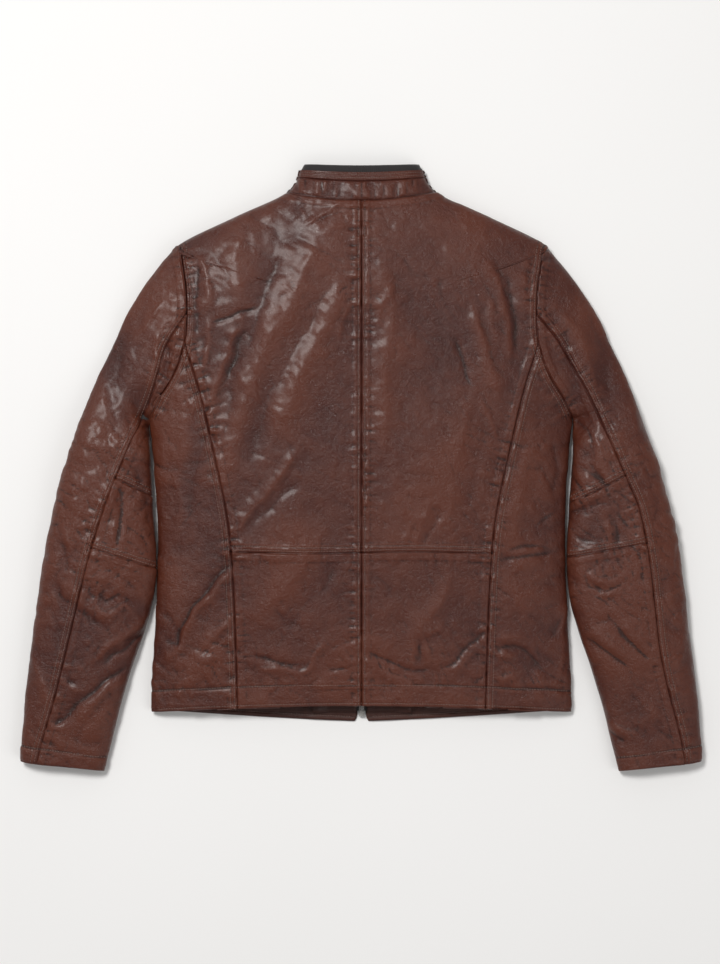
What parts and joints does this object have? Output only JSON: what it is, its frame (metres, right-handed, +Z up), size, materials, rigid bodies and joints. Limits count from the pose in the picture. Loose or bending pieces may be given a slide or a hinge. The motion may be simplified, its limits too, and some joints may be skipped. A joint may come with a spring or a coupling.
{
  "type": "leather riding jacket",
  "caption": "Waist-length leather jacket lying face down: stand collar with a ribbed knit inner, seamed back, set-in sleeves with elbow darts, zipped front and slanted zipped pockets.",
  "frame": {"origin": "on the surface the jacket lies on, below the middle of its outline", "axes": "+X towards the wearer's right sleeve, +Y from hem to collar, +Z up out of the jacket's back"},
  "size_m": [0.8714, 0.7763, 0.0421],
  "materials": {
    "shell_leather": "semi-gloss, fine grain",
    "inner_leather": "satin",
    "rib_knit": "matt ribbed knit",
    "lining": "satin woven lining",
    "pocket_cloth": "matt plain weave",
    "zip_tape": "matt woven tape",
    "zip_metal": "dull antiqued metal"
  },
  "bodies": {
    "jacket": {"back_hem_facing": "inner_leather", "back_lining": "lining", "collar_rib_knit": "rib_knit", "collar_stand": "shell_leather", "collar_top_band": "shell_leather", "hanger_loop": "inner_leather", "left_back_panel": "shell_leather", "left_back_waist_panel": "shell_leather", "left_front_facing": "inner_leather", "left_front_hem_facing": "inner_leather", "left_front_lining": "lining", "left_front_panel": "shell_leather", "left_pocket_bag": "pocket_cloth", "left_pocket_welt": "inner_leather", "left_pocket_zip_tape": "zip_tape", "left_pocket_zip_teeth": "zip_metal", "left_side_back_panel": "shell_leather", "left_sleeve_head_lining": "lining", "left_top_sleeve_head": "shell_leather", "left_under_sleeve_head": "shell_leather", "left_zip_tape": "zip_tape", "left_zip_teeth": "zip_metal", "right_back_panel": "shell_leather", "right_back_waist_panel": "shell_leather", "right_front_facing": "inner_leather", "right_front_hem_facing": "inner_leather", "right_front_lining": "lining", "right_front_panel": "shell_leather", "right_pocket_bag": "pocket_cloth", "right_pocket_welt": "inner_leather", "right_pocket_zip_tape": "zip_tape", "right_pocket_zip_teeth": "zip_metal", "right_side_back_panel": "shell_leather", "right_sleeve_head_lining": "lining", "right_top_sleeve_head": "shell_leather", "right_under_sleeve_head": "shell_leather", "right_zip_tape": "zip_tape", "right_zip_teeth": "zip_metal", "zip_insertion_pin": "zip_metal", "zip_retainer_box": "zip_metal"},
    "left_sleeve": {"left_top_sleeve": "shell_leather", "left_under_sleeve": "shell_leather", "left_elbow_panel": "shell_leather", "left_forearm_panel": "shell_leather", "left_cuff_facing": "inner_leather", "left_sleeve_lining": "lining"},
    "right_sleeve": {"right_top_sleeve": "shell_leather", "right_under_sleeve": "shell_leather", "right_elbow_panel": "shell_leather", "right_forearm_panel": "shell_leather", "right_cuff_facing": "inner_leather", "right_sleeve_lining": "lining"},
    "zip_slider": {"zip_slider": "zip_metal"},
    "zip_pull": {"zip_pull": "zip_metal"},
    "left_pocket_slider": {"left_pocket_zip_slider": "zip_metal"},
    "left_pocket_pull": {"left_pocket_zip_pull": "zip_metal"},
    "right_pocket_slider": {"right_pocket_zip_slider": "zip_metal"},
    "right_pocket_pull": {"right_pocket_zip_pull": "zip_metal"}
  },
  "joints": [
    {"name": "left_sleeve_swing", "type": "hinge", "parent": "jacket", "child": "left_sleeve", "pos_m": [-0.347, 0.101, 0], "axis": [0, 0, -1], "range_deg": [0, 35]},
    {"name": "right_sleeve_swing", "type": "hinge", "parent": "jacket", "child": "right_sleeve", "pos_m": [0.347, 0.101, 0], "axis": [0, 0, 1], "range_deg": [0, 35]},
    {"name": "zip_slide", "type": "slide", "parent": "jacket", "child": "zip_slider", "axis": [0, -1, 0], "range_m": [0, 0.58], "deforming": ["left_zip_teeth", "right_zip_teeth"]},
    {"name": "zip_pull_hinge", "type": "hinge", "parent": "zip_slider", "child": "zip_pull", "pos_m": [0, 0.2832, 0.00145], "axis": [1, 0, 0], "range_deg": [0, 175]},
    {"name": "left_pocket_slide", "type": "slide", "parent": "jacket", "child": "left_pocket_slider", "axis": [-0.342, -0.9397, 0], "range_m": [0, 0.112], "deforming": ["left_pocket_zip_teeth"]},
    {"name": "left_pocket_pull_hinge", "type": "hinge", "parent": "left_pocket_slider", "child": "left_pocket_pull", "pos_m": [-0.14236, -0.06279, 0.00145], "axis": [0.9397, -0.342, 0], "range_deg": [0, 165]},
    {"name": "right_pocket_slide", "type": "slide", "parent": "jacket", "child": "right_pocket_slider", "axis": [0.342, -0.9397, 0], "range_m": [0, 0.112], "deforming": ["right_pocket_zip_teeth"]},
    {"name": "right_pocket_pull_hinge", "type": "hinge", "parent": "right_pocket_slider", "child": "right_pocket_pull", "pos_m": [0.14236, -0.06279, 0.00145], "axis": [0.9397, 0.342, 0], "range_deg": [0, 165]}
  ]
}
